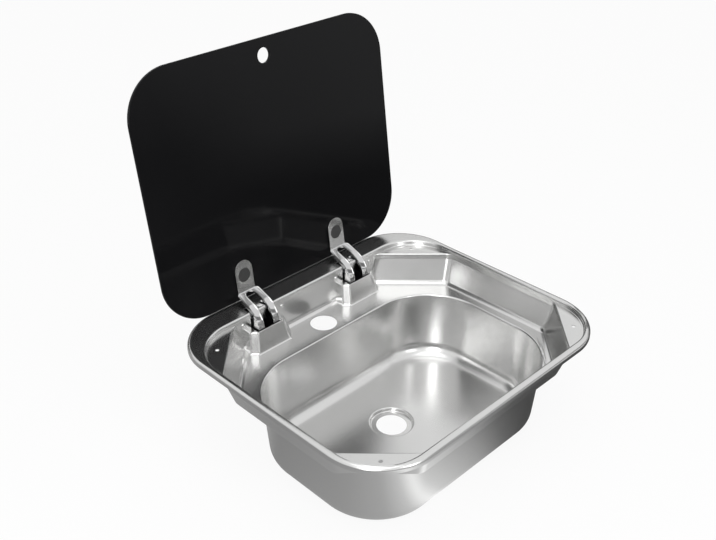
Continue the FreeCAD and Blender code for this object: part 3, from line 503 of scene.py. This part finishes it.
def hinge_box(name, centre):
    """One hinge box: the cut edge of its mouth, its top, its walls and the round foot in which
    they run out on the ledge. The foot's flare fades to nothing at the wall."""
    rear = RECESS_Y + SHEET / 2
    mouth, _ = box_ring(MOUTH_HALF, MOUTH_FRONT, rear, MOUTH_CHAMFER, MOUTH_CORNER)
    upright = (rear, BOX_CHAMFER, BOX_UPRIGHT_EDGE, BOX_CREASE)
    top, _ = box_ring(BOX_HALF, BOX_FRONT, *upright)
    foot, foot_out = box_ring(BOX_FOOT_HALF, BOX_FOOT_FRONT, *upright)
    fade = np.clip((rear - foot[:, 1]) / PAN_FOOT, 0.02, 1)[:, None]
    flare = foot - foot_out * BOX_FLARE * fade
    corners = [(raised(top, BOX_TOP), BOX_EDGE, 5, 0.5), (raised(foot, LEDGE), BOX_FOOT_R, 7, 0.8)]
    rows = rounded_profile(raised(mouth, BOX_TOP), corners, raised(flare, LEDGE + BOX_CLEAR))
    box = drawn_sheet(name, [row + np.array([centre, 0, 0]) for row in rows], closed=False)
    smooth(box)
    return box


# ---------------------------------------------------------------- glass and rivets

def opened(points):
    """Points of the closed lid, turned about the pivot to its open stop."""
    turn = math.radians(-OPEN_ANGLE)
    y, z = points[:, 1] - PIVOT_Y, points[:, 2] - PIVOT_Z
    return np.column_stack([points[:, 0], PIVOT_Y + y * math.cos(turn) - z * math.sin(turn),
                            PIVOT_Z + y * math.sin(turn) + z * math.cos(turn)])


def capped(name, rows):
    """A grid of closed rings with a flat cap at each end, its faces turned outwards."""
    columns = len(rows[0])
    last = (len(rows) - 1) * columns
    faces = grid_faces(len(rows), columns, True).tolist()
    faces += [list(range(columns)), list(range(last, last + columns))]
    solid = meshed(name, np.concatenate(rows), faces)
    work = bmesh.new()
    work.from_mesh(solid.data)
    bmesh.ops.recalc_face_normals(work, faces=work.faces)
    work.to_mesh(solid.data)
    work.free()
    return solid


def glass_slab():
    """The glass with its ground edge all round and at the finger hole, standing open."""
    outer, inner = glass_ring(0), glass_ring(2 * GLASS_EDGE)
    corners = [(raised(outer, GLASS_TOP), GLASS_EDGE, 4, 0.9),
               (raised(outer, GLASS_UNDER), GLASS_EDGE, 4, 0.45)]
    rows = rounded_profile(raised(inner, GLASS_TOP), corners, raised(inner, GLASS_UNDER))
    slab = capped("glass_slab", [mirrored(row) for row in rows])
    cut(slab, [drum(0, FINGER_Y, FINGER_R, GLASS_UNDER - 1, GLASS_TOP + 1)])
    break_edges(slab, FINGER_EDGE, 60)
    bake_modifiers(slab)
    smooth(slab, 20)
    mesh = slab.data
    places = np.empty(3 * len(mesh.vertices))
    mesh.vertices.foreach_get("co", places)
    turned = opened(places.reshape(-1, 3) / MM) * MM
    mesh.vertices.foreach_set("co", turned.ravel())
    mesh.update()
    return slab


def rivets():
    """Blind rivets turned about Y: a domed head with a dimple, the shank and the formed tail."""
    turn = np.linspace(0, 2 * math.pi, RIVET_SIDES, endpoint=False)
    points, faces = [], []
    for side in SIDES.values():
        for offset in (-RIVET_SPREAD / 2, RIVET_SPREAD / 2):
            middle = side * HINGE_X + offset
            rows = [np.column_stack([middle + radius * np.cos(turn),
                                     np.full(RIVET_SIDES, RECESS_Y - out),
                                     RIVET_Z + radius * np.sin(turn)])
                    for radius, out in RIVET_PROFILE]
            base = RIVET_SIDES * len(rows) * len(points)
            faces.append(grid_faces(len(rows), RIVET_SIDES, True) + base)
            points.append(np.concatenate(rows))
    piece = meshed("rivets", np.concatenate(points), np.concatenate(faces).tolist())
    merge(piece.data)
    smooth(piece, 50)
    return piece


# ---------------------------------------------------------------- materials

def shader_of(material):
    """The material's Principled shader."""
    return material.node_tree.nodes["Principled BSDF"]


def plain_material(name, colour, metallic, roughness):
    """A material whose Principled shader has these plain values."""
    material = bpy.data.materials.new(name)
    material.use_nodes = True
    given = shader_of(material).inputs
    given["Base Color"].default_value = (*colour, 1)
    given["Metallic"].default_value = metallic
    given["Roughness"].default_value = roughness
    return material


def mottle_group():
    """Noise between a low and a high value, on a piece's own coordinates."""
    group = bpy.data.node_groups.new("mottle", "ShaderNodeTree")
    for name, value in (("Scale", 30.0), ("Low", 0.2), ("High", 0.3), ("Detail", 3.0)):
        socket = group.interface.new_socket(name, in_out="INPUT", socket_type="NodeSocketFloat")
        socket.default_value = value
    group.interface.new_socket("Value", in_out="OUTPUT", socket_type="NodeSocketFloat")
    nodes, links = group.nodes, group.links
    given, out = nodes.new("NodeGroupInput"), nodes.new("NodeGroupOutput")
    place = nodes.new("ShaderNodeTexCoord")
    noise = nodes.new("ShaderNodeTexNoise")
    span = nodes.new("ShaderNodeMapRange")
    span.clamp = False
    span.inputs["From Min"].default_value = 0.25
    span.inputs["From Max"].default_value = 0.75
    links.new(place.outputs["Object"], noise.inputs["Vector"])
    links.new(given.outputs["Scale"], noise.inputs["Scale"])
    links.new(given.outputs["Detail"], noise.inputs["Detail"])
    links.new(noise.outputs["Fac"], span.inputs["Value"])
    links.new(given.outputs["Low"], span.inputs["To Min"])
    links.new(given.outputs["High"], span.inputs["To Max"])
    links.new(span.outputs["Result"], out.inputs["Value"])
    return group


MOTTLE = mottle_group()


def mottled(material, socket, scale, low, high, detail=3.0):
    """Feed a value socket of the material from the mottle group."""
    tree = material.node_tree
    node = tree.nodes.new("ShaderNodeGroup")
    node.node_tree = MOTTLE
    for name, value in (("Scale", scale), ("Low", low), ("High", high), ("Detail", detail)):
        node.inputs[name].default_value = value
    tree.links.new(node.outputs["Value"], socket)


def steel_material(name, colour, low, high):
    """Bare or plated steel, whose roughness wanders a little."""
    material = plain_material(name, colour, 1.0, (low + high) / 2)
    mottled(material, shader_of(material).inputs["Roughness"], 18, low, high)
    return material


def glass_material():
    """Opaque black glass with a faint film that varies its gloss."""
    material = plain_material("black_glass", (0.005, 0.005, 0.0055), 0.0, 0.05)
    given = shader_of(material).inputs
    given["Specular IOR Level"].default_value = 0.10
    mottled(material, given["Roughness"], 25, 0.03, 0.09)
    return material


def moulded_material(name, colour, roughness):
    """Moulded plastic or rubber, with a fine grain that stands 0.03 mm high."""
    material = plain_material(name, colour, 0.0, roughness)
    given = shader_of(material).inputs
    mottled(material, given["Roughness"], 60, roughness - 0.06, roughness + 0.06)
    tree = material.node_tree
    grain = tree.nodes.new("ShaderNodeBump")
    grain.inputs["Distance"].default_value = 0.03 * MM
    mottled(material, grain.inputs["Height"], 1500, 0, 1, 2.0)
    tree.links.new(grain.outputs["Normal"], given["Normal"])
    return material


STEEL = steel_material("satin_steel", (0.66, 0.66, 0.655), 0.22, 0.27)
CHROME = steel_material("hinge_chrome", (0.60, 0.60, 0.60), 0.07, 0.12)
ZINC = steel_material("bracket_steel", (0.50, 0.51, 0.52), 0.32, 0.42)
PIN = steel_material("pin_steel", (0.55, 0.55, 0.55), 0.2, 0.26)
GLASS = glass_material()
RUBBER = moulded_material("bond_rubber", (0.03, 0.03, 0.03), 0.55)
PLASTIC = moulded_material("liner_plastic", (0.012, 0.012, 0.012), 0.5)
NYLON = moulded_material("bush_nylon", (0.6, 0.58, 0.52), 0.45)


# ---------------------------------------------------------------- pieces

def painted(piece, material):
    """Give a piece this material alone."""
    piece.data.materials.clear()
    piece.data.materials.append(material)


def finish(piece, material, slot, body, *nodes):
    """Give a made piece its material and body, and let it stand for solids. The slot is not used.
    """
    painted(piece, material)
    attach(piece, body)
    if nodes:
        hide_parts(*nodes)


def softened(node, material, slot, body, width=0.3, shape=None):
    """A merged copy of a solid, shaped further if asked, with its sharp edges broken."""
    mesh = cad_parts[node].data.copy()
    merge(mesh)
    if shape:
        shape(mesh)
    piece = linked(node + "_finished", mesh)
    smooth(piece)
    break_edges(piece, width, 40)
    even = piece.modifiers.new("flats", "WEIGHTED_NORMAL")
    even.keep_sharp = True
    bake_modifiers(piece)
    finish(piece, material, slot, body, node)


def is_outer(face):
    """Whether a face is an outer one of an arm's web or legs: it looks the right way, lies below
    the web's top, is no sliver, and has its middle on the arm's middle line or a leg's."""
    middle = face.calc_center_median() / MM
    aside = abs(abs(middle.x) - HINGE_X)
    on_line = aside < 0.5 or abs(aside - LEG_MIDDLE) < 0.3
    looks_out = face.normal.dot(FACE_WAY) > 0.25
    return (on_line and looks_out and middle.z < WEB_TOP
            and face.calc_area() > LEAST_FACE * MM * MM)


def pressed_legs(mesh):
    """Sink a shallow channel into the outer face of an arm's web and legs, inside a raised edge."""
    work = bmesh.new()
    work.from_mesh(mesh)
    bmesh.ops.dissolve_limit(work, angle_limit=math.radians(0.5), verts=work.verts,
                             edges=work.edges)
    work.normal_update()
    outer = [face for face in work.faces if is_outer(face)]
    bmesh.ops.inset_region(work, faces=outer, thickness=LEG_EDGE * MM, depth=-LEG_SUNK * MM,
                           use_even_offset=True, use_boundary=True)
    work.to_mesh(mesh)
    work.free()


finish(sink_skin(), STEEL, "sink_steel", "sink", "sink_shell")
for name, side in SIDES.items():
    finish(hinge_box(f"hinge_box_{name}", side * HINGE_X), STEEL, "sink_steel", "sink")
    softened(f"hinge_arm_{name}", CHROME, "hinge_chrome", "lid", 0.25, pressed_legs)
    painted(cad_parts[f"bond_pad_{name}"], RUBBER)
    softened(f"hinge_bracket_{name}", ZINC, "bracket_steel", "sink", 0.2)
    softened(f"pocket_liner_{name}", PLASTIC, "liner_plastic", "sink")
    softened(f"hinge_pin_{name}", PIN, "pin_steel", "sink", 0.2)
    softened(f"pivot_bushes_{name}", NYLON, "bush_nylon", "lid", 0.1)
finish(glass_slab(), GLASS, "black_glass", "lid", "glass_lid")
softened("pin_clips", PIN, "pin_steel", "sink", 0.1)
finish(rivets(), STEEL, "sink_steel", "sink", "hinge_rivets")


# ---------------------------------------------------------------- floor and surround

FLOOR_HALF = 3000.0
SHOWN_WHITE = 0.9            # share of plain white in what is seen of the floor
WORLD_LEVEL = 0.8            # strength at which the surround lights the sink


def seen_white(tree, dim, white, out):
    """Show the white shader to camera, glossy and transmission rays and the dim one to the rest."""
    nodes, links = tree.nodes, tree.links
    path = nodes.new("ShaderNodeLightPath")
    seen = path.outputs["Is Camera Ray"]
    for ray in ("Is Glossy Ray", "Is Transmission Ray"):
        either = nodes.new("ShaderNodeMath")
        either.operation = "MAXIMUM"
        links.new(seen, either.inputs[0])
        links.new(path.outputs[ray], either.inputs[1])
        seen = either.outputs[0]
    mix = nodes.new("ShaderNodeMixShader")
    links.new(seen, mix.inputs["Fac"])
    links.new(dim, mix.inputs[1])
    links.new(white, mix.inputs[2])
    links.new(mix.outputs["Shader"], out)


def white_floor():
    """A wide pale floor under the sink; a small share of what is seen of it is its own lit
    surface, which keeps the shadow."""
    half, level = FLOOR_HALF, cad_low.z / MM
    floor = meshed("floor", [(-half, -half, level), (half, -half, level), (half, half, level),
                             (-half, half, level)], [(0, 1, 2, 3)])
    material = plain_material("floor_white", (0.8, 0.8, 0.8), 0.0, 0.9)
    tree, shader = material.node_tree, shader_of(material)
    shader.inputs["Specular IOR Level"].default_value = 0.0
    white = tree.nodes.new("ShaderNodeEmission")
    shown = tree.nodes.new("ShaderNodeMixShader")
    shown.inputs["Fac"].default_value = SHOWN_WHITE
    tree.links.new(shader.outputs["BSDF"], shown.inputs[1])
    tree.links.new(white.outputs["Emission"], shown.inputs[2])
    seen_white(tree, shader.outputs["BSDF"], shown.outputs["Shader"],
               tree.nodes["Material Output"].inputs["Surface"])
    floor.data.materials.append(material)


def white_world():
    """A white surround, seen at strength 1 and lighting the sink at a lower level."""
    world = bpy.data.worlds.new("surround")
    bpy.context.scene.world = world
    world.use_nodes = True
    tree = world.node_tree
    dim, white = tree.nodes["Background"], tree.nodes.new("ShaderNodeBackground")
    for background, strength in ((dim, WORLD_LEVEL), (white, 1.0)):
        background.inputs["Color"].default_value = (1, 1, 1, 1)
        background.inputs["Strength"].default_value = strength
    seen_white(tree, dim.outputs["Background"], white.outputs["Background"],
               tree.nodes["World Output"].inputs["Surface"])


# ---------------------------------------------------------------- painted reflections: a glowing studio that only reflections see
# Greys of painted reflections by the heading from the sink's centre, in degrees clockwise from +Y:
# the floor, the line where floor and wall meet, the wall, and the panel that stands on a part of
# the wall. Below 1 a grey paints shade into what the metal mirrors, and above 1 it paints a bright
# band of light.

# Painted reflections: greys that glowing cards show only to reflections; below 1 painted shade,
# above 1 painted highlights.
PAINTED_FLOOR_REFLECTION = {0: 0.60, 30: 0.30, 60: 0.10, 130: 0.08, 140: 0.10, 150: 0.18, 158: 0.30,
               167: 0.45, 185: 0.68, 197: 0.85, 206: 1.30, 215: 0.78, 228: 0.52, 250: 0.42,
               275: 0.36, 292: 0.32, 330: 0.45, 360: 0.60}
PAINTED_FOOT_REFLECTION = {0: 0.60, 30: 0.30, 60: 0.10, 95: 0.10, 115: 0.40, 128: 0.85, 140: 0.75, 150: 0.20,
              165: 0.30, 185: 0.68, 197: 0.85, 206: 1.30, 215: 0.78, 228: 0.52, 250: 0.42,
              275: 0.36, 292: 0.32, 330: 0.45, 360: 0.60}
PAINTED_WALL_REFLECTION = {0: 0.04, 95: 0.04, 115: 0.50, 128: 1.20, 148: 1.20, 165: 0.40, 185: 0.20,
              240: 0.20, 280: 0.40, 300: 0.60, 330: 0.60, 345: 0.10, 360: 0.04}
PAINTED_PANEL_REFLECTION = {112: 0.80, 122: 0.25, 155: 0.25, 165: 0.80}
WALL_HEIGHTS = {0: 800, 95: 800, 110: 420, 330: 420, 345: 800, 360: 800}
GRADED_WALL = (110, 170)     # headings between which the wall is graded from its foot up
PANEL_SPAN, PANEL_TALL = (112, 166), 620.0
NEAR, MIDDLE, FAR = 120.0, 950.0, 1700.0
CARD_LIFT = 1.0


def heading(degrees):
    """Unit vector on the floor, clockwise from +Y."""
    turn = math.radians(degrees)
    return np.array([math.sin(turn), math.cos(turn)])


def by_heading(turns, table):
    """Values of a table at these headings, straight between its entries."""
    return np.interp(turns, list(table), list(table.values()))


def painted_reflection_card(name, rows, greys):
    """A glowing band round the set that only reflections see, with a grey for each point of its
    rows: a painted reflection, no lamp.
    """
    faces = grid_faces(len(rows), len(rows[0]), False).tolist()
    card = meshed(name, np.concatenate(rows), faces)
    grey = card.data.attributes.new("grey", "FLOAT", "POINT")
    grey.data.foreach_set("value", np.concatenate(greys))
    material = bpy.data.materials.new(name)
    material.use_nodes = True
    tree = material.node_tree
    tree.nodes.remove(shader_of(material))
    # The card glows with its grey for reflections alone: a painted reflection, not a lamp.
    glow, tone = tree.nodes.new("ShaderNodeEmission"), tree.nodes.new("ShaderNodeAttribute")
    tone.attribute_name = "grey"
    tree.links.new(tone.outputs["Fac"], glow.inputs["Color"])
    tree.links.new(glow.outputs["Emission"], tree.nodes["Material Output"].inputs["Surface"])
    card.data.materials.append(material)
    for ray in ("camera", "diffuse", "shadow", "transmission", "volume_scatter"):
        setattr(card, f"visible_{ray}", False)


def painted_reflection_cards():
    """Painted reflections: the graded floor, the low wall round it and the panel on the wall's
    front part, as glowing cards that only reflections see.
    """
    turns = np.linspace(0, 360, 145)
    ways = np.array([heading(turn) for turn in turns])
    level = cad_low.z / MM + CARD_LIFT
    edge = raised(ways * FAR, level)
    top = np.column_stack([ways * FAR, level + by_heading(turns, WALL_HEIGHTS)])
    # Greys of the painted reflections: darker for painted shade, above 1 for painted highlights.
    floor, foot, wall = (by_heading(turns, tones) for tones in (PAINTED_FLOOR_REFLECTION, PAINTED_FOOT_REFLECTION,
                                                                PAINTED_WALL_REFLECTION))
    painted_reflection_card("painted_floor_reflection", [raised(ways * NEAR, level), raised(ways * MIDDLE, level), edge],
                [floor, floor, foot])
    graded = (turns > GRADED_WALL[0]) & (turns < GRADED_WALL[1])
    painted_reflection_card("painted_wall_reflection", [edge, top], [np.where(graded, foot, wall), wall])
    front = (turns > PANEL_SPAN[0]) & (turns < PANEL_SPAN[1])
    panel = by_heading(turns[front], PAINTED_PANEL_REFLECTION)
    painted_reflection_card("painted_front_reflection", [top[front], top[front] + np.array([0, 0, PANEL_TALL])],
                [panel, panel])


# ---------------------------------------------------------------- lamps, in metres

STRIP_AWAY, STRIP_FOOT, STRIP_LEAN = 1.1, 0.28, 0.3


def area_light(name, place, way, width, tall, strength):
    """A soft light at a place that shines along a way. It looks strength times as bright as
    white, which takes pi times its area times that strength in watts."""
    data = bpy.data.lights.new(name, "AREA")
    data.shape = "RECTANGLE"
    data.size, data.size_y = width, tall
    data.energy = strength * math.pi * width * tall
    lamp = linked(name, data)
    lamp.location = place
    lamp.rotation_mode = "QUATERNION"
    lamp.rotation_quaternion = way.to_track_quat("-Z", "Y")


def key_light():
    """A square lamp above the camera's side of the sink, facing its centre."""
    place = Vector((-0.3, -0.2, 1.6))
    area_light("key", place, -place, 0.9, 0.9, 1.6)


def strip_light(name, degrees, width, tall, strength):
    """An upright lamp at a heading, leaning forward to shine down on the sink."""
    x, y = heading(degrees) * STRIP_AWAY
    area_light(name, (x, y, cad_low.z + STRIP_FOOT + tall / 2), Vector((-x, -y, -STRIP_LEAN)),
               width, tall, strength)


# ---------------------------------------------------------------- camera

CAMERA_PLACE = Vector((-702.91, -634.01, 668.84))
CAMERA_AHEAD = Vector((0.5951, 0.6143, -0.5181))
CAMERA_ROLL = -0.38


def photo_camera():
    """The camera that sees the sink as the photograph does: it looks ahead, and its right and up
    are turned about that way by the roll."""
    data = bpy.data.cameras.new("camera")
    data.sensor_width, data.lens = 36.0, 47.38
    data.shift_x, data.shift_y = 0.0169, 0.0019
    data.clip_start = 0.05
    ahead = CAMERA_AHEAD.normalized()
    level = ahead.cross(Vector((0, 0, 1))).normalized()
    upright = level.cross(ahead)
    roll = math.radians(CAMERA_ROLL)
    right = level * math.cos(roll) + upright * math.sin(roll)
    up = upright * math.cos(roll) - level * math.sin(roll)
    camera = linked("camera", data)
    turn = Matrix((right, up, -ahead)).transposed().to_4x4()
    camera.matrix_world = Matrix.Translation(CAMERA_PLACE * MM) @ turn
    bpy.context.scene.camera = camera


white_floor()
white_world()
# Painted reflections: glowing cards round the sink that only reflections see.
painted_reflection_cards()
key_light()
strip_light("side_strip", 238, 0.32, 1.05, 5.0)
strip_light("front_strip", 184, 0.2, 0.8, 4.0)
photo_camera()
bpy.context.scene.view_settings.view_transform = "Standard"
